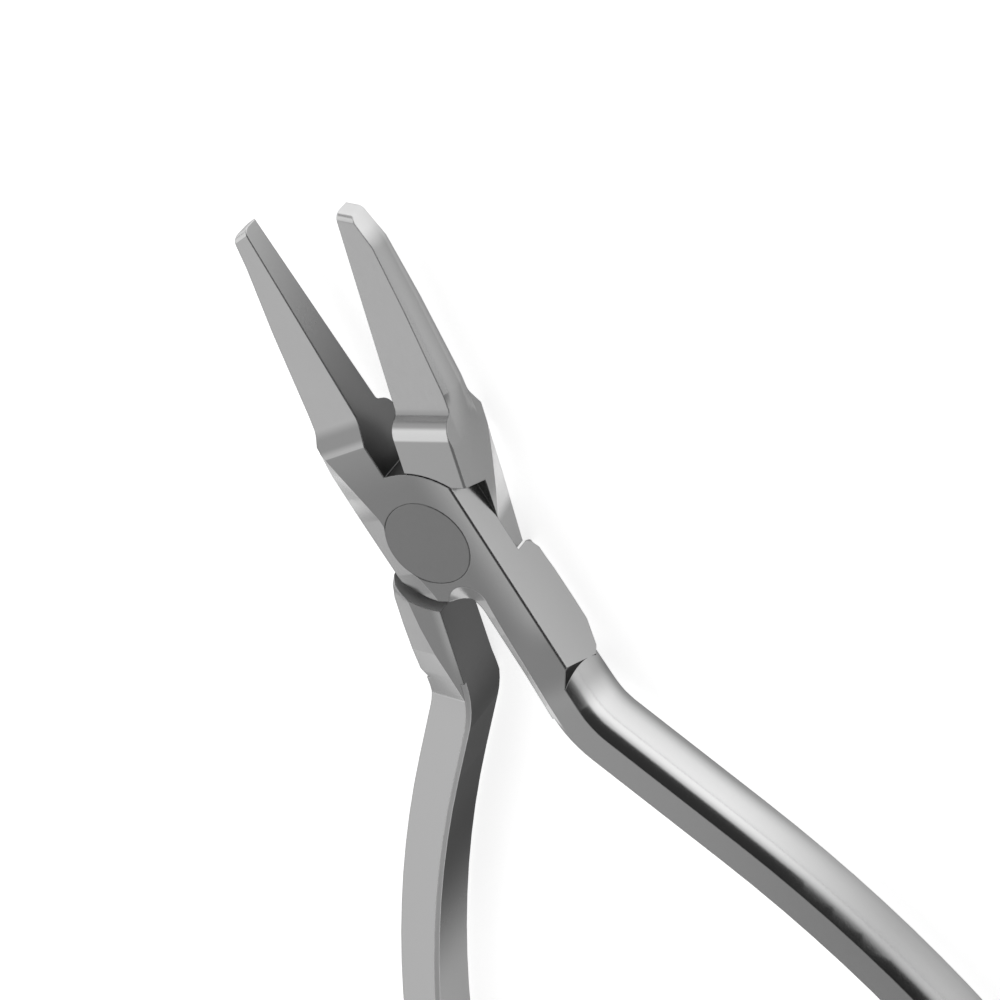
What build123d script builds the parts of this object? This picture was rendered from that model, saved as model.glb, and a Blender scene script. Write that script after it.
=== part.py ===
from build123d import *
import math
import os

# Flat-beak orthodontic pliers with a lapped joint, in millimetres.
# The tool lies on its back: +Z is up, +Y runs to the beak tips, the pivot axis is Z.

# Joint
joint_thickness = 6.2
joint_half_width = 5.62
boss_radius = 6.95
boss_relief = 1.05
shoulder_gap = 0.15
cheek_corner_inset = 1.4
cheek_corner_front_y = 5.7
cheek_corner_lap_y = 4.6
crotch_radius = 2.0
crotch_reach = 3.5
lap_gap = 0.04
opening_half_angle = 8.8

# Pivot screw
head_radius = 4.06
head_thickness = 1.9
shank_radius = 2.4
screw_clearance = 0.02
head_edge_break = 0.05

# Beak, measured from the pivot axis
tip_y = 31.25
tip_end_width = 1.6
tip_end_crown = 0.31
tip_slope = 0.35
tip_radius = 0.7
jaw_edge_radius = 0.1
tip_shoulder_run = 3.25
root_y = 13.9
cheek_top_y = 9.6
front_step_y = 10.2
front_step_run = 2.1
front_beak_height = 1.95
back_step_y = 11.4
back_step_run = 0.8
back_beak_height = 1.55
tip_half_thickness = 0.98
front_step_top_radius = 0.9
front_step_foot_radius = 2.0
back_step_top_radius = 1.6
back_step_foot_radius = 0.5
front_root_inset = 1.1
front_beak_tip_width = 1.5
rear_root_inset = 0.42
rear_beak_tip_width = 2.42
beak_crown = 0.62
cheek_crown = 0.02
belly_share = 0.575
belly = 0.1

# Handle
handle_inner_x = 1.0
handle_outer_inset = 0.02
handle_round_run = 1.45
handle_rim_inset = 0.3
handle_rim_height = 1.85
ridge_width = 0.35
handle_edge_break = 0.3
front_bend_angle = 26.3
rear_extra_bend = 1.5
bend_inner_radius = 10.9
front_bow_radius = 110.0
end_angle = 4.0
end_length = 10.0
end_round = 1.6
front_bend_y = 19.1
rear_bend_y = 14.6
front_reach = 14.0
front_pad_drop = 2.85
rear_pad_drop = 0.3
pad_end_angle = 53.0
front_pad_apex = -1.1
rear_pad_apex = 0.0
front_pad_rise = 1.45
rear_pad_rise = 0.85

neck_overlap = 1.5
root_start_y = 3.0

# Ground bevels of the two cheeks, each row: station y, inset of the bevel's edge from the side, depth at the side
bevel_over = 1.0
edge_break = 0.16
front_cheek_bevel = [
    (12.4, 0.17, 1.4),
    (10.6, 0.91, 0.95),
    (8.3, 1.39, 0.7),
    (5.8, 1.93, 0.67),
    (3.4, 2.45, 0.68),
    (-2.3, 2.49, 0.74),
    (-4.5, 2.97, 0.8),
    (-8.0, 3.4, 0.95),
]
rear_cheek_bevel = [
    (10.5, 0.2, 0.25),
    (8.5, 0.2, 0.3),
    (6.6, 0.27, 0.8),
    (4.9, 0.28, 1.35),
    (2.95, 0.32, 2.0),
    (0.9, 0.38, 2.9),
    (-8.0, 0.6, 3.0),
]

# Bevel of the inner handle edge, each row: station y, inset, share of the lever's own depth
crotch_bevel_x = 0.2
crotch_bevel_radius = 1.9
front_inner_depth = 0.32
rear_inner_depth = 0.85
inner_bevel = [
    (-6.6, 1.1, 1.08),
    (-8.4, 0.95, 1.02),
    (-10.2, 0.85, 1.0),
    (-14.5, 0.72, 0.95),
    (-17.7, 0.6, 0.55),
    (-20.4, 0.6, 0.3),
    (-22.5, 0.6, 0.05),
]

# Bevels behind the side pad, each row: share of the way from the pivot to the rear bend, inset, depth
bevel_end_run = 1.8
front_root_bevel = [
    (0.274, 0.62, 1.9),
    (0.336, 1.02, 1.1),
    (0.390, 1.32, 0.7),
    (0.555, 2.28, 0.55),
    (0.774, 2.93, 0.5),
    (0.925, 3.42, 0.52),
    (1.11, 3.55, 1.5),
]
rear_root_bevel = [
    (0.274, 0.9, 1.9),
    (0.336, 1.4, 1.0),
    (0.416, 1.7, 0.64),
    (0.600, 2.03, 0.6),
    (0.792, 2.64, 0.7),
    (0.954, 3.39, 0.95),
]

half = joint_thickness / 2
shoulder_radius = boss_radius + shoulder_gap
tip_shoulder_y = tip_y - tip_shoulder_run
belly_y = root_y + belly_share * (tip_shoulder_y - root_y)
handle_width = joint_half_width - handle_outer_inset - handle_inner_x
handle_flat_width = handle_width - handle_round_run
handle_rim_width = handle_width - handle_rim_inset
rear_bend_angle = front_bend_angle + rear_extra_bend
front_pad_end_y = front_bend_y - front_pad_drop
rear_pad_end_y = rear_bend_y - rear_pad_drop


def corner(face, x, y, radius):
    """Round the corner of a flat face that lies nearest to a point."""
    point = face.vertices().sort_by_distance((x, y, 0))[0]
    return fillet(point, radius)


def slab(face, low, high):
    """Flat face raised between two heights."""
    return Pos(0, 0, low) * extrude(face, amount=high - low, dir=(0, 0, 1))


def belly_width(root_width, tip_width):
    """Flat width of the beak half way along, where its side stands out a little."""
    along = (belly_y - root_y) / (tip_shoulder_y - root_y)
    return root_width + (tip_width - root_width) * along + belly


def beak_plan():
    """Plan that cuts the jaw face on x = 0 and the sloped tip end."""
    far = 2 * joint_half_width
    points = [(0, 0), (0, tip_y), (-far, tip_y - tip_slope * far / tip_end_width), (-far, 0)]
    return make_face(Polyline(*points, close=True))


def crown_section(y, width, bulge):
    """Cross-section across the beak whose outer side bulges between front and back."""
    front = (-width, y, front_beak_height)
    back = (-width, y, -back_beak_height)
    middle = (-width - bulge, y, 0)
    far = joint_half_width
    outline = Polyline(back, (-width, y, -far), (far, y, -far), (far, y, far), (-width, y, far), front)
    return make_face(outline + ThreePointArc(front, middle, back))


def beak_crowned(root_width, tip_width):
    """Tapered solid that gives the beak its half-round outer side."""
    past = (tip_y + 1 - tip_shoulder_y) / (tip_y - tip_slope - tip_shoulder_y)
    end_width = tip_width + past * (tip_end_width - tip_end_crown - tip_width)
    end_crown = beak_crown + past * (tip_end_crown - beak_crown)
    sections = [
        crown_section(-1, joint_half_width, cheek_crown),
        crown_section(cheek_top_y, joint_half_width, cheek_crown),
        crown_section(root_y, root_width, beak_crown),
        crown_section(belly_y, belly_width(root_width, tip_width), beak_crown),
        crown_section(tip_shoulder_y, tip_width, beak_crown),
        crown_section(tip_y + 1, end_width, end_crown),
    ]
    return loft(sections, ruled=True)


def beak_profile():
    """Side profile of the beak: steps down from the joint to a thin tip."""
    front_foot = front_step_y + front_step_run
    back_foot = back_step_y + back_step_run
    points = [
        (-1, -half),
        (-1, half),
        (front_step_y, half),
        (front_foot, front_beak_height),
        (tip_y + 0.5, tip_half_thickness),
        (tip_y + 0.5, -tip_half_thickness),
        (back_foot, -back_beak_height),
        (back_step_y, -half),
    ]
    face = make_face(Polyline(*points, close=True))
    face = corner(face, front_step_y, half, front_step_top_radius)
    face = corner(face, back_step_y, -half, back_step_top_radius)
    face = corner(face, front_foot, front_beak_height, front_step_foot_radius)
    return corner(face, back_foot, -back_beak_height, back_step_foot_radius)


def tip_edges(body, face):
    """Upright outer corner of the tip, and the edge of the tip end on one face."""
    edges = []
    for edge in body.edges():
        start = edge @ 0
        end = edge @ 1
        at_tip = min(start.Y, end.Y) > tip_y - 2 * tip_slope
        at_jaw = max(abs(start.X), abs(end.X)) < tip_end_width / 4
        upright = abs(start.Z - end.Z) > tip_half_thickness
        on_face = min(start.Z * face, end.Z * face) > tip_half_thickness / 2
        if at_tip and not at_jaw and (upright or on_face):
            edges.append(edge)
    return edges


def jaw_edges(body):
    """Long front and back edges of the jaw face."""
    edges = []
    for edge in body.edges():
        ends = [edge @ 0, edge @ 1]
        on_jaw = max(abs(end.X) for end in ends) < jaw_edge_radius / 10
        past_joint = min(end.Y for end in ends) > front_step_y + front_step_run / 2
        if on_jaw and past_joint and abs((edge @ 0.5).Z) > tip_half_thickness / 2:
            edges.append(edge)
    return edges


def beak(root_width, tip_width, face):
    """Beak and cheek with their full thickness profile, the tip and the jaw edges rounded."""
    plan = slab(beak_plan(), -half, half)
    side = Plane.YZ * beak_profile()
    body = plan & extrude(side, amount=3 * joint_half_width, both=True)
    body = body & beak_crowned(root_width, tip_width)
    body = fillet(tip_edges(body, face), tip_radius)
    return fillet(jaw_edges(body), jaw_edge_radius)


def handle_section():
    """Cross-section of the handle: s runs outwards from the inner face, z upwards."""
    inner_front = (0, half - handle_edge_break)
    front_start = (handle_edge_break, half)
    front_end = (handle_flat_width, half)
    crown = (handle_width, 0.3)
    rim = (handle_rim_width, -handle_rim_height)
    ridge = (ridge_width, -half)
    inner_back = (0, ridge_width - half)
    outline = Polyline(rim, ridge, inner_back, inner_front, front_start, front_end)
    return make_face(outline + ThreePointArc(front_end, crown, rim))


def station(x, y, heading):
    """Plane across the handle where its inner face passes (x, y)."""
    across = (math.cos(heading), math.sin(heading), 0)
    along = (math.sin(heading), -math.cos(heading), 0)
    return Plane(origin=(x, y, 0), x_dir=across, z_dir=along)


def bent(plane, section, radius, angle, side):
    """Section turned about an upright axis on one side of the handle."""
    centre = plane.origin + plane.x_dir * (side * radius)
    axis = Axis(tuple(centre), (0, 0, side))
    return revolve(plane * section, axis, angle)


def straight(plane, length):
    """Handle section drawn straight along its plane's normal."""
    return extrude(plane * handle_section(), amount=length, dir=plane.z_dir)


def rounded_end(plane):
    """Last straight length of the handle, its end corners rounded in plan."""
    plan = make_face(Polyline((0, 0), (handle_width, 0), (handle_width, -end_length), (0, -end_length), close=True))
    plan = corner(plan, 0, -end_length, end_round)
    plan = corner(plan, handle_width, -end_length, end_round)
    flat = Plane(origin=plane.origin, x_dir=plane.x_dir, z_dir=(0, 0, 1))
    return straight(plane, end_length) & extrude(flat * plan, amount=joint_thickness, both=True)


def sweep_end(bend_y, bend_angle, reach, bow_radius):
    """Where the inner face of a handle stands after its bend, reach and bow."""
    turn = math.radians(bend_angle)
    last = math.radians(-end_angle)
    x = handle_inner_x + bend_inner_radius * (1 - math.cos(turn))
    y = -bend_y - bend_inner_radius * math.sin(turn)
    x = x + reach * math.sin(turn) + bow_radius * (math.cos(last) - math.cos(turn))
    y = y - reach * math.cos(turn) - bow_radius * (math.sin(turn) - math.sin(last))
    return x, y


def level_sweep():
    """Reach and bow radius that bring the rear handle's end level with the front handle's."""
    turn = math.radians(rear_bend_angle)
    last = math.radians(-end_angle)
    end_x, end_y = sweep_end(front_bend_y, front_bend_angle, front_reach, front_bow_radius)
    start_x, start_y = sweep_end(rear_bend_y, rear_bend_angle, 0, 0)
    out = end_x - start_x
    down = start_y - end_y
    bow_out = math.cos(last) - math.cos(turn)
    bow_down = math.sin(turn) - math.sin(last)
    scale = math.sin(turn) * bow_down - math.cos(turn) * bow_out
    reach = (out * bow_down - down * bow_out) / scale
    radius = (down * math.sin(turn) - out * math.cos(turn)) / scale
    return reach, radius


def handle(bend_y, bend_angle, reach, bow_radius, neck_y):
    """Handle from the neck: outward bend, straight reach and long inward bow."""
    turn = math.radians(bend_angle)
    neck = station(handle_inner_x, -neck_y, 0)
    first = station(handle_inner_x, -bend_y, 0)
    second = station(*sweep_end(bend_y, bend_angle, 0, 0), turn)
    third = station(*sweep_end(bend_y, bend_angle, reach, 0), turn)
    fourth = station(*sweep_end(bend_y, bend_angle, reach, bow_radius), math.radians(-end_angle))
    body = straight(neck, bend_y - neck_y)
    body += bent(first, handle_section(), bend_inner_radius, bend_angle, 1)
    body += straight(second, reach)
    body += bent(third, handle_section(), bow_radius, bend_angle + end_angle, -1)
    return body + rounded_end(fourth)


def root_tail(bend_y):
    """Full depth of the root block, carried on into the bend as far as the bevel behind the pad runs."""
    rim = (handle_rim_width, -handle_rim_height)
    section = make_face(Polyline((ridge_width, -half), (handle_rim_width, -half), rim, close=True))
    angle = math.degrees(math.asin(bevel_end_run / (bend_inner_radius - handle_rim_width)))
    turned = bent(station(handle_inner_x, -bend_y, 0), section, bend_inner_radius, angle, 1)
    reach = Pos(0, -bend_y - bevel_end_run / 2) * Rectangle(4 * joint_half_width, bevel_end_run)
    return turned & slab(reach, -half, half)


def root_block(bend_y, pad_end_y, pad_apex, pad_rise):
    """Full-thickness block between joint and handle, its side flat ending in a blunt vee."""
    slope = math.tan(math.radians(pad_end_angle))
    drop = bend_y - pad_end_y
    points = [
        (handle_inner_x, -root_start_y),
        (joint_half_width, -root_start_y),
        (joint_half_width, -pad_end_y),
        (joint_half_width - drop / slope, -bend_y),
        (handle_inner_x, -bend_y),
    ]
    block = slab(make_face(Polyline(*points, close=True)), -half, half)
    apex = (joint_half_width, -pad_end_y, pad_apex)
    along = Vector(-1, -slope, 0)
    for height in (half, -half):
        normal = along.cross(Vector(0, pad_rise, height - pad_apex))
        if normal.X < 0:
            normal = normal * -1
        block = split(block, bisect_by=Plane(origin=apex, z_dir=normal), keep=Keep.BOTTOM)
    return block


def wedge(rows, side_x, inward, top):
    """Ground bevel along a side: each row is a station y, its edge's inset and its depth at the side."""
    up = math.copysign(bevel_over, top)
    outer_x = side_x - inward * bevel_over
    sections = []
    for y, inset, depth in rows:
        edge_x = side_x + inward * inset
        fall = math.copysign(depth, top) * (inset + bevel_over) / inset
        corners = [
            (edge_x, y, top),
            (outer_x, y, top - fall),
            (outer_x, y, top + up),
            (edge_x, y, top + up),
        ]
        sections.append(make_face(Polyline(*corners, close=True)))
    return loft(sections, ruled=True)


def crotch_bevel(row):
    """Hollow cone that carries the inner handle bevel on round the crotch."""
    y, inset, depth = row
    slope = depth / inset
    top = crotch_bevel_radius + bevel_over / slope
    height = bevel_over + crotch_bevel_radius * slope
    points = [(0, half + bevel_over - height), (top, half + bevel_over), (0, half + bevel_over)]
    profile = Plane.XZ * make_face(Polyline(*points, close=True))
    return Pos(crotch_bevel_x, y, 0) * revolve(profile, Axis.Z, 360)


def bevels(bend_y, inner_depth, root_bevel, cheek_bevel):
    """Ground bevels of cheek corner, handle root and inner handle edge, and two narrow edge breaks."""
    end_fall = (half - handle_rim_height) / (handle_rim_width - ridge_width)
    bend_shift = bend_inner_radius - math.sqrt(bend_inner_radius ** 2 - bevel_end_run ** 2)
    end_inset = joint_half_width - handle_inner_x - ridge_width - bend_shift
    far_side = [(-share * rear_bend_y, inset, depth) for share, inset, depth in root_bevel]
    far_side.append((-bend_y - bevel_end_run, end_inset, end_fall * end_inset))
    near_side = [(y, inset, share * inner_depth) for y, inset, share in inner_bevel]
    pad = [(y, edge_break, edge_break) for y in (boss_radius, -bend_y)]
    cheek = [(y, edge_break, edge_break) for y in (root_y, 0)]
    return [
        wedge(pad, joint_half_width, -1, half),
        wedge(cheek, -joint_half_width, 1, -half),
        wedge(cheek_bevel, -joint_half_width, 1, half),
        wedge(far_side, joint_half_width, -1, -half),
        wedge(near_side, handle_inner_x, 1, half),
        crotch_bevel(near_side[0]),
    ]


def boss_plan():
    """Plan of the lapped boss: a round with flat sides, relieved below, filleted into the handle root."""
    strip = Rectangle(2 * joint_half_width, 4 * boss_radius)
    foot = boss_radius + crotch_reach
    edge = handle_inner_x
    points = [(edge, 0), (edge + 1, 0), (edge + 1, -foot), (edge, -foot)]
    round_boss = Circle(boss_radius) & Pos(0, boss_relief) * Circle(boss_radius) & strip
    plan = round_boss + make_face(Polyline(*points, close=True))
    meeting_y = boss_relief - math.sqrt(boss_radius ** 2 - edge ** 2)
    return corner(plan, edge, meeting_y, crotch_radius)


def cheek_corner():
    """Sloped relief of the cheek's lower corner, beside the boss of the other lever."""
    points = [(0, 0), (cheek_corner_lap_y, 0), (cheek_corner_front_y, -half), (0, -half)]
    side = Plane.YZ * make_face(Polyline(*points, close=True))
    start = Pos(-joint_half_width - bevel_over, 0, 0)
    return start * extrude(side, amount=cheek_corner_inset + bevel_over, dir=(1, 0, 0))


def lever(
    face, root_width, tip_width, bend_y, bend_angle, reach, bow_radius,
    pad_end_y, pad_apex, pad_rise, inner_depth, *ground,
):
    """One lever, lap plane on z = 0: beak on the left, handle on the right, face +1 or -1 towards the front."""
    lap = lap_gap / 2
    boss = slab(boss_plan(), lap, half)
    seat = slab(Circle(shoulder_radius), -half - 1, lap)
    body = beak(root_width, tip_width, face) + root_block(bend_y, pad_end_y, pad_apex, pad_rise)
    body = body + handle(bend_y, bend_angle, reach, bow_radius, pad_end_y - neck_overlap) + root_tail(bend_y)
    body = body - seat - cheek_corner() + boss
    for cut in bevels(bend_y, inner_depth, *ground):
        body = body - cut
    return body


def screw():
    """Flush pivot screw: wide flat head in front, shank through to the back."""
    head = slab(Circle(head_radius), half - head_thickness, half)
    head = chamfer(head.edges().group_by(Axis.Z)[-1], head_edge_break)
    shank = slab(Circle(shank_radius), -half, half)
    return head + shank


def front_bore():
    """Stepped bore of the front lever with running clearance round the screw."""
    recess = slab(Circle(head_radius + screw_clearance), half - head_thickness - screw_clearance, half + 1)
    hole = slab(Circle(shank_radius + screw_clearance), -half, half)
    return recess + hole


def rear_bore():
    """Plain bore of the rear lever, holding the shank tight."""
    return slab(Circle(shank_radius), -half - 1, half)


def placed(part, angle):
    """Turn a part about the pivot and set it on the resting plane."""
    return Pos(0, 0, half) * Rot(0, 0, angle) * part


def build():
    """All pieces in the tool frame, opened as a hand holds them."""
    rear_reach, rear_bow_radius = level_sweep()
    front = lever(
        1,
        joint_half_width - front_root_inset,
        front_beak_tip_width,
        front_bend_y,
        front_bend_angle,
        front_reach,
        front_bow_radius,
        front_pad_end_y,
        front_pad_apex,
        front_pad_rise,
        front_inner_depth,
        front_root_bevel,
        front_cheek_bevel,
    )
    rear = lever(
        -1,
        joint_half_width - rear_root_inset,
        rear_beak_tip_width,
        rear_bend_y,
        rear_bend_angle,
        rear_reach,
        rear_bow_radius,
        rear_pad_end_y,
        rear_pad_apex,
        rear_pad_rise,
        rear_inner_depth,
        rear_root_bevel,
        rear_cheek_bevel,
    )
    front = front - front_bore()
    rear = Rot(0, 180, 0) * rear - rear_bore()
    return {
        "front_lever": placed(front, opening_half_angle),
        "rear_lever": placed(rear, -opening_half_angle),
        "pivot_screw": placed(screw(), -opening_half_angle),
    }


if __name__ == "__main__":
    os.makedirs("parts", exist_ok=True)
    for name, piece in build().items():
        piece.label = name
        export_step(piece, "parts/" + name + ".step")
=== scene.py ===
import math

import bpy
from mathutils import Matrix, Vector

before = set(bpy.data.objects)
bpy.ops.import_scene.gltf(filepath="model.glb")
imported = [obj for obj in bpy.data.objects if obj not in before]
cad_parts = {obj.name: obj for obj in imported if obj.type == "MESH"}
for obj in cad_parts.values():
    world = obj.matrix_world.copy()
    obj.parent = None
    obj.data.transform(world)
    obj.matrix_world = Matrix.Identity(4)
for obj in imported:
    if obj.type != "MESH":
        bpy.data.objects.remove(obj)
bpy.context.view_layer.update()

# Opened pliers lying on their back, in metres: the pivot axis is Z and the beaks point along +Y.
MM = 0.001
# Each lever is turned by this many degrees either way in the stored pose.
HALF_OPENING = 8.8

# Satin polished steel, lengths in millimetres. The grain runs along Y and swings the roughness a little.
GRAIN_STRETCH = (1.0, 0.12, 1.0)
GRAIN_ROUGHNESS = 0.03
GRAIN_STRENGTH = 0.04
GRAIN_DEPTH_MM = 0.02
CLOUD_MM = 6
BROKEN_EDGE_MM = 0.14
GRAZING_TINT = (0.5, 0.5, 0.5, 1.0)

# Stage, in metres. The drop keeps the floor just clear of the tool's back.
FLOOR_RADIUS = 1.5
FLOOR_DROP = 0.05 * MM
FLOOR_CORNERS = 96
FLOOR_GLOW = 0.74
LAMP_DISTANCE = 0.5
# Name, azimuth from +X and elevation in degrees, width, height, brightness.
LAMPS = (
    ("left_softbox", 160, 38, 1.15, 0.54, 0.67),
    ("rear_card", 250, 25, 0.28, 0.32, 0.85),
    ("right_strip", 20, 13, 0.84, 0.20, 0.75),
)
# Grey of the room at the horizon, at a low height on a unit direction, and overhead.
ROOM_LOW_HEIGHT = 0.3
ROOM_GREYS = (0.6, 0.42, 0.36)
# Black flag: azimuth and elevation in degrees, cosines at its soft edge, and the light that it lets by.
FLAG_AIM = (22, 52)
FLAG_EDGE = (0.75, 0.87)
FLAG_SHADE = 0.09

# Camera fitted to the photograph, in metres and degrees.
CAMERA_PLACE = (0.297172, 0.197261, 0.356669)
CAMERA_TURN = (-37.6897, 26.1311, -26.3398)
CAMERA_ANGLE = 9.688
CAMERA_CLIP = 0.01


def colour(code):
    """sRGB hex to the linear colour that a shader socket takes."""
    parts = [int(code[i:i + 2], 16) / 255 for i in (1, 3, 5)]
    linear = [p / 12.92 if p <= 0.04045 else ((p + 0.055) / 1.055) ** 2.4 for p in parts]
    return (*linear, 1.0)


def add(tree, kind, settings=None, **links):
    """One shader node: settings by attribute, sockets by name, or by number (i6) where names repeat."""
    made = tree.nodes.new("ShaderNode" + kind)
    for name, value in (settings or {}).items():
        setattr(made, name, value)
    for name, value in links.items():
        key = int(name[1:]) if name[0] == "i" and name[1:].isdigit() else name.replace("_", " ")
        socket = made.inputs[key]
        if isinstance(value, bpy.types.NodeSocket):
            tree.links.new(value, socket)
        else:
            socket.default_value = value
    return made


def new_material(name):
    """Empty node material and its tree."""
    material = bpy.data.materials.new(name)
    material.use_nodes = True
    material.node_tree.nodes.clear()
    return material, material.node_tree


def dress(node_name, material):
    """Give a CAD node one material."""
    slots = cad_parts[node_name].data.materials
    slots.clear()
    slots.append(material)


def signals(tree, turn):
    """Place in millimetres and facing of a surface point, along the lever's own axes."""
    lie = (0.0, 0.0, math.radians(-turn))
    coords = add(tree, "TexCoord").outputs
    place = add(tree, "Mapping", Vector=coords["Object"], Rotation=lie, Scale=(1 / MM, 1 / MM, 1 / MM))
    facing = add(tree, "Mapping", {"vector_type": "VECTOR"}, Vector=coords["Normal"], Rotation=lie)
    read = {}
    for prefix, source in (("", place), ("n", facing)):
        parts = add(tree, "SeparateXYZ", Vector=source.outputs[0])
        for axis in "XYZ":
            read[prefix + axis.lower()] = parts.outputs[axis]
    return read


def zone(tree, read, limits):
    """Soft mask: the product of smooth steps, each from nought to full along one signal."""
    mask = 1.0
    for name, nought, full in limits:
        step = add(
            tree, "MapRange", {"interpolation_type": "SMOOTHSTEP"},
            Value=read[name], From_Min=nought, From_Max=full,
        )
        mask = add(tree, "Math", {"operation": "MULTIPLY"}, i0=mask, i1=step.outputs[0]).outputs[0]
    return mask


# Stainless steel, forged, ground flat and satin polished with fine grit.
# Gives the eye soft, unbroken grey reflections, thin bright lines on broken edges and a faint grain.
# The real grit lines are finer than grain_mm, which is as coarse as they need to be to show.
# The grazing tint dulls what is seen at a shallow angle, as the grit does.
# Zones are (tone, roughness, limits): painted light and shade, tones laid on by place and facing that make
# faces paler or darker than the rest of the lever.
def satin_stainless(name, turn, base, dark, roughness, grain_mm, painted_zones=()):
    material, tree = new_material(name)
    place = add(tree, "TexCoord").outputs["Object"]
    grain = add(
        tree, "TexNoise", {"noise_dimensions": "3D"},
        Vector=add(tree, "Mapping", Vector=place, Scale=GRAIN_STRETCH).outputs[0],
        Scale=1 / (grain_mm * MM), Detail=3.0, Roughness=0.6,
    ).outputs[0]
    cloud = add(tree, "TexNoise", Vector=place, Scale=1 / (CLOUD_MM * MM), Detail=2.0).outputs[0]
    tint = add(tree, "Mix", {"data_type": "RGBA"}, Factor=cloud, i6=colour(dark), i7=colour(base)).outputs[2]
    rough = add(
        tree, "MapRange", Value=grain, From_Min=0.3, From_Max=0.7,
        To_Min=roughness - GRAIN_ROUGHNESS, To_Max=roughness + GRAIN_ROUGHNESS,
    ).outputs[0]
    read = signals(tree, turn)
    # Painted light and shade: inside each zone's mask, its tone takes the place of the steel's colour and its
    # roughness that of the grain.
    for painted_tone, finish, limits in painted_zones:
        mask = zone(tree, read, limits)
        tint = add(tree, "Mix", {"data_type": "RGBA"}, Factor=mask, i6=tint, i7=colour(painted_tone)).outputs[2]
        rough = add(tree, "Mix", Factor=mask, i2=rough, i3=finish).outputs[0]
    edge = add(tree, "Bevel", {"samples": 6}, Radius=BROKEN_EDGE_MM * MM).outputs[0]
    bump = add(
        tree, "Bump",
        Strength=GRAIN_STRENGTH, Distance=GRAIN_DEPTH_MM * MM, Height=grain, Normal=edge,
    ).outputs[0]
    steel = add(
        tree, "BsdfPrincipled",
        Base_Color=tint, Metallic=1.0, Roughness=rough, Specular_Tint=GRAZING_TINT, Normal=bump,
    )
    add(tree, "OutputMaterial", Surface=steel.outputs[0])
    return material


# Limits are (signal, nought, full): x, y, z in millimetres along the lever's own axes, nx, ny, nz its facing.
FLAT_FRONT = (("nz", 0.97, 0.99), ("z", 6.05, 6.15))
HANDLE_FADE = ("y", -50, -30)
INNER_SIDE = ("nx", 0.6, 0.8)
FRONT_BEVEL = (("nz", 0.985, 0.965), ("z", 5.2, 5.5))
BEAK_SIDE = (("nx", 0.5, 0.8), ("nz", -0.18, -0.06), ("y", 2, 4))

FRONT_PAINTED_LIGHT_AND_SHADE = [
    # Painted shade on the joint cheek, neck and handle strip, all flat on the front.
    ("#7E7E7E", 0.24, (*FLAT_FRONT, ("y", -19, -15), ("x", 7.5, 2))),
    ("#848484", 0.24, (*FLAT_FRONT, ("y", -9, -13), ("y", -19, -15))),
    ("#929292", 0.20, (*FLAT_FRONT, ("y", -15, -19))),
    # Painted shade on the cheek next to the beak, and on the step down to it.
    ("#8C8C8C", 0.24, (*FLAT_FRONT, ("y", 5, 10.5))),
    ("#8C8C8C", 0.24, (("nz", 0.3, 0.6), ("y", 12.6, 11.6), ("y", 10.3, 10.9))),
    # Jaw face: painted shade, darker towards its root.
    ("#6A6A6A", 0.30, (INNER_SIDE, ("y", 40, 12), ("x", 1.2, 0.6))),
    # Painted highlight on the cheek bevel on the outer side.
    ("#D8D8D8", 0.20, (("nx", -0.15, -0.3), ("nz", 0.4, 0.6), ("y", 3.5, 5.5), ("y", 12.5, 11))),
    # Painted highlight on the hollow bevel at the crotch, and on the bevel that runs on from it along the
    # neck.
    ("#B0B0B0", 0.20, (*FRONT_BEVEL, ("y", -3.4, -4.2), ("x", 3.2, 2.6), ("x", -2.6, -2))),
    ("#DCDCDC", 0.20, (*FRONT_BEVEL, ("y", -6, -12), ("x", 3.2, 2.6))),
    # Painted highlight on the beak tip.
    ("#CACACA", 0.24, (("nz", 0.975, 0.94), ("ny", 0.1, 0.3), ("y", 28.5, 30))),
    # Painted shade on the blunt vee at the end of the side pad.
    ("#3C3C3C", 0.30, (("ny", -0.42, -0.52), ("nx", 0.3, 0.6), ("y", -14.5, -15.2), ("x", 12, 8))),
    # Painted highlight on the round side of the handle, which is also smoother, and painted shade on its
    # lower side.
    ("#D6D6D6", 0.14, (("nz", 0.99, 0.97), ("y", -17, -20), HANDLE_FADE)),
    ("#787878", 0.16, (("nz", 0.1, -0.45), ("nx", 0.2, 0.4), ("y", -15, -18), HANDLE_FADE)),
]
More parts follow.
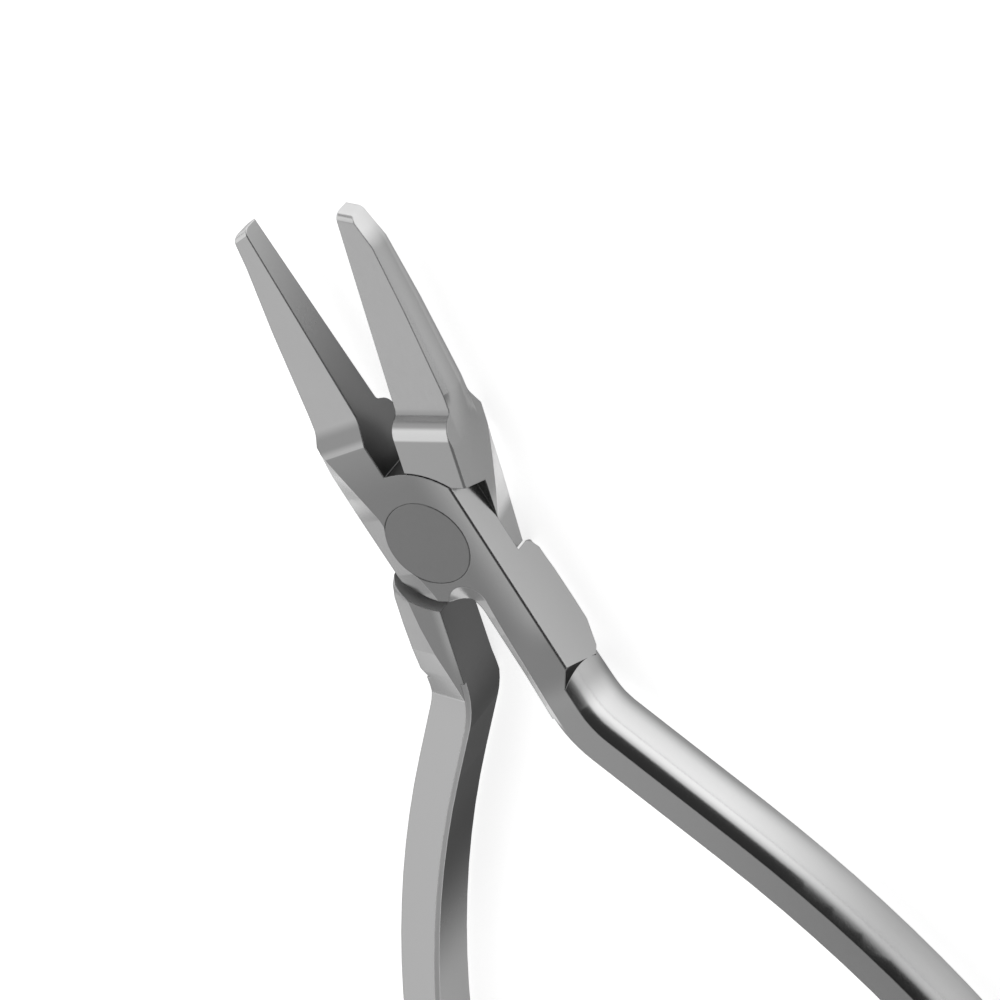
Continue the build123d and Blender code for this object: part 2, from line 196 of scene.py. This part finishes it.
REAR_PAINTED_LIGHT_AND_SHADE = [
    # Painted shade on the cheek and root block, flat on the front, and on the ridge of the block.
    ("#9E9E9E", 0.22, (*FLAT_FRONT, ("y", 3, 5))),
    ("#828282", 0.24, (*FLAT_FRONT, ("y", 3, -2))),
    ("#9A9A9A", 0.24, (*FLAT_FRONT, ("y", -4, -6), ("y", -15, -10), ("x", -2.1, -1.1))),
    # Painted shade on the inner side of the root and of the handle.
    ("#606060", 0.32, (INNER_SIDE, ("y", -4, -6), HANDLE_FADE)),
    ("#404040", 0.32, (INNER_SIDE, ("y", -12, -22), HANDLE_FADE)),
    # Painted light on the front slope of the handle, the chamfer along it, and the outer facet of the root.
    ("#AEAEAE", 0.20, (("nz", 0.985, 0.97), ("nz", 0.85, 0.9), ("y", -14, -17))),
    ("#C8C8C8", 0.30, (("nx", 0.4, 0.55), ("nz", 0.4, 0.55), ("y", -13, -14))),
    ("#C2C2C2", 0.20, (("nx", -0.1, -0.25), ("nz", 0.3, 0.5), ("y", -11.4, -11.7), ("y", -16.55, -16.35))),
    # Painted shade on the slope of the beak's step, and a painted highlight on the pale band between it and
    # the cheek.
    ("#949494", 0.24, (("nz", 0.2, 0.4), ("y", 12.6, 12.1), ("y", 11.3, 11.6))),
    ("#D0D0D0", 0.20, (("nz", 0.5, 0.7), ("y", 11.5, 11.2), ("y", 10.2, 10.5))),
    # Painted shade on the outer side of the beak and of the cheek.
    ("#9A9A9A", 0.20, BEAK_SIDE),
    ("#929292", 0.20, (*BEAK_SIDE, ("y", 17, 11))),
    # Painted highlight on the beak tip.
    ("#D2D2D2", 0.24, (("nz", 0.975, 0.94), ("y", 27.5, 29.8))),
    # Painted highlight on the low strip of the cheek's side, then painted light that lifts the shade on the
    # walls of the relieved corner and of the round shoulder.
    ("#F0F0F0", 0.20, (("nx", 0.5, 0.8), ("nz", -0.06, -0.18), ("y", 0, 1.5), ("y", 9, 8))),
    ("#F0F0F0", 0.80, (("nx", 0.8, 0.95), ("x", 4.7, 4.4), ("y", 3, 3.6), ("y", 7, 6.4))),
    ("#C0C0C0", 0.85, (("ny", 0.3, 0.5), ("nz", 0.5, 0.3), ("y", -2.5, -3.5))),
]
front_steel = satin_stainless(
    "satin_stainless_front_lever", HALF_OPENING,
    base="#ACACAC", dark="#A8A8A8", roughness=0.20, grain_mm=0.12, painted_zones=FRONT_PAINTED_LIGHT_AND_SHADE,
)
rear_steel = satin_stainless(
    "satin_stainless_rear_lever", -HALF_OPENING,
    base="#ACACAC", dark="#A8A8A8", roughness=0.20, grain_mm=0.12, painted_zones=REAR_PAINTED_LIGHT_AND_SHADE,
)
# The screw's head is ground flush with the cheek; its darker tone is painted shade, like that on the cheek
# around it.
screw_steel = satin_stainless(
    "flush_stainless_screw_painted_shade", -HALF_OPENING,
    base="#7A7A7A", dark="#767676", roughness=0.24, grain_mm=0.10,
)
dress("front_lever", front_steel)
dress("rear_lever", rear_steel)
dress("pivot_screw", screw_steel)


# White coated board under the tool: it scatters light evenly and holds a faint shadow.
# Its glow is what the camera sees and the steel mirrors of a white backdrop.
def white_board():
    material, tree = new_material("matt_white_board")
    path = add(tree, "LightPath").outputs
    seen = path["Is Camera Ray"]
    for ray in ("Is Glossy Ray", "Is Transmission Ray"):
        seen = add(tree, "Math", {"operation": "MAXIMUM"}, i0=seen, i1=path[ray]).outputs[0]
    glow = add(tree, "Math", {"operation": "MULTIPLY"}, i0=seen, i1=FLOOR_GLOW)
    board = add(tree, "BsdfDiffuse", Color=colour("#F2F2F2"))
    light = add(tree, "Emission", Color=(1, 1, 1, 1), Strength=glow.outputs[0])
    both = add(tree, "AddShader", i0=board.outputs[0], i1=light.outputs[0])
    add(tree, "OutputMaterial", Surface=both.outputs[0])
    return material


def floor():
    """Round flat floor just below the tool."""
    mesh = bpy.data.meshes.new("floor")
    angles = [2 * math.pi * i / FLOOR_CORNERS for i in range(FLOOR_CORNERS)]
    ring = [(FLOOR_RADIUS * math.cos(a), FLOOR_RADIUS * math.sin(a), -FLOOR_DROP) for a in angles]
    mesh.from_pydata(ring, [], [tuple(range(FLOOR_CORNERS))])
    mesh.materials.append(white_board())
    board = bpy.data.objects.new("floor", mesh)
    bpy.context.collection.objects.link(board)


def aim(azimuth, elevation):
    """Unit vector at an azimuth from +X and an elevation."""
    a = math.radians(azimuth)
    e = math.radians(elevation)
    return Vector((math.cos(a) * math.cos(e), math.sin(a) * math.cos(e), math.sin(e)))


def softbox(name, azimuth, elevation, width, height, brightness):
    """Rectangular lamp that faces the joint, seen from it at an azimuth from +X and an elevation."""
    towards = aim(azimuth, elevation)
    lamp = bpy.data.lights.new(name, "AREA")
    lamp.shape = "RECTANGLE"
    lamp.size = width
    lamp.size_y = height
    lamp.energy = brightness * math.pi * width * height
    holder = bpy.data.objects.new(name, lamp)
    holder.location = towards * LAMP_DISTANCE
    holder.rotation_euler = towards.to_track_quat("Z", "Y").to_euler()
    holder.visible_camera = False
    bpy.context.collection.objects.link(holder)


def room():
    """Soft grey room, palest at the horizon, with a black flag high on the right."""
    world = bpy.data.worlds.new("studio_room")
    bpy.context.scene.world = world
    world.use_nodes = True
    tree = world.node_tree
    tree.nodes.clear()
    way = add(tree, "TexCoord").outputs["Generated"]
    ramp = add(tree, "ValToRGB", Fac=add(tree, "SeparateXYZ", Vector=way).outputs["Z"])
    steps = ramp.color_ramp.elements
    steps.new(ROOM_LOW_HEIGHT)
    for step, grey in zip(steps, ROOM_GREYS):
        step.color = (grey, grey, grey, 1)
    near = add(tree, "VectorMath", {"operation": "DOT_PRODUCT"}, i0=way, i1=aim(*FLAG_AIM)).outputs["Value"]
    shade = add(
        tree, "MapRange", {"interpolation_type": "SMOOTHSTEP"}, Value=near,
        From_Min=FLAG_EDGE[0], From_Max=FLAG_EDGE[1], To_Min=1.0, To_Max=FLAG_SHADE,
    )
    back = add(tree, "Background", Color=ramp.outputs[0], Strength=shade.outputs[0])
    add(tree, "OutputWorld", Surface=back.outputs[0])


def camera():
    """Camera of the photograph: half a metre away, to the right and in front of the tool."""
    data = bpy.data.cameras.new("camera")
    data.sensor_fit = "HORIZONTAL"
    data.angle = math.radians(CAMERA_ANGLE)
    data.clip_start = CAMERA_CLIP
    view = bpy.data.objects.new("camera", data)
    view.location = CAMERA_PLACE
    view.rotation_euler = [math.radians(a) for a in CAMERA_TURN]
    bpy.context.collection.objects.link(view)
    bpy.context.scene.camera = view


floor()
for lamp_values in LAMPS:
    softbox(*lamp_values)
room()
camera()
bpy.context.scene.view_settings.view_transform = "Standard"
